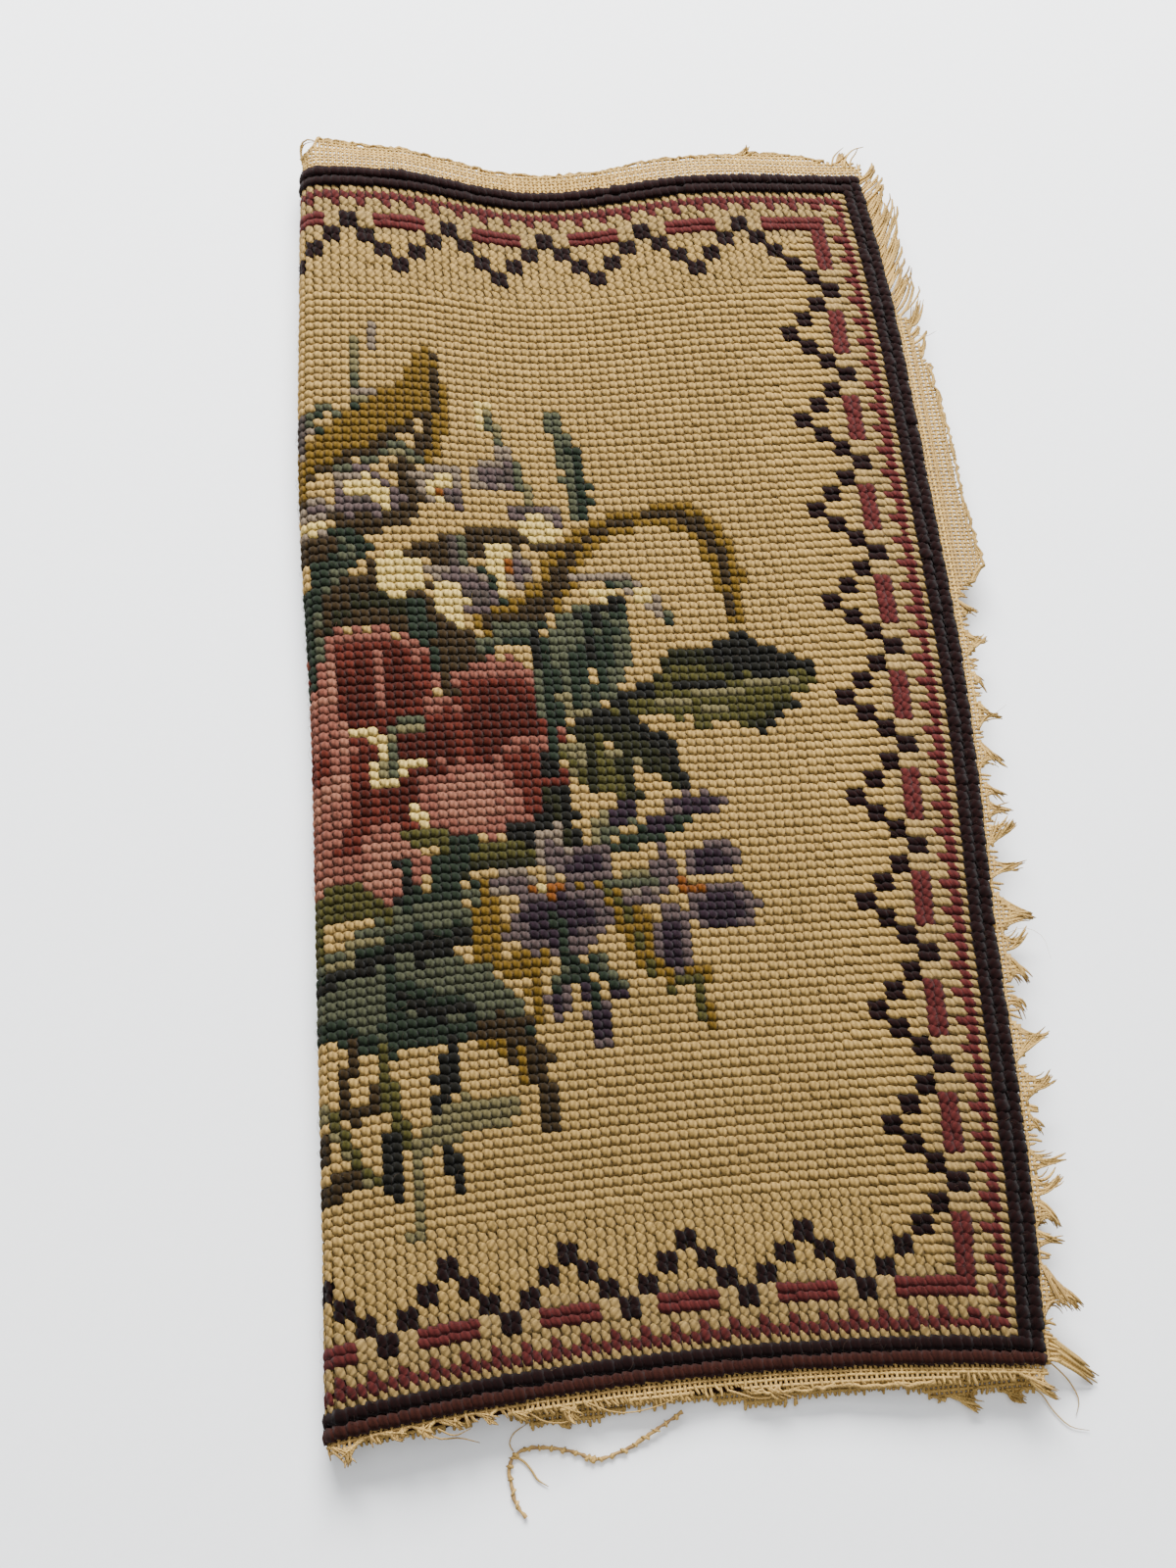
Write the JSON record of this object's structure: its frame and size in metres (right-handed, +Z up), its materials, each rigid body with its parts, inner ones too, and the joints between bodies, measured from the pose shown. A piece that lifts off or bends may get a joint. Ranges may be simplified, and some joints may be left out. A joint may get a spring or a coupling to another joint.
{
  "type": "needlepoint panel",
  "caption": "Wool needlepoint panel on canvas, floral with a zigzag border and raw frayed margins, folded in half with its stitched side out.",
  "frame": {"origin": "on the surface that the folded panel lies on, under the middle of its bounding box", "axes": "+X across the panel from its fold to its open side, +Y up the worked design, +Z up from the surface"},
  "size_m": [0.2044, 0.4032, 0.0151],
  "materials": {
    "worked_wool": "matt wool cross stitch with a slight fuzz",
    "raw_canvas": "dry unbleached woven canvas, frayed at its edges"
  },
  "bodies": {
    "root": {"panel": "worked_wool", "frayed_right": "raw_canvas", "frayed_top": "raw_canvas", "frayed_bottom": "raw_canvas", "frayed_lower_right": "raw_canvas", "frayed_lower_bottom": "raw_canvas", "loose_thread": "raw_canvas"}
  },
  "joints": []
}
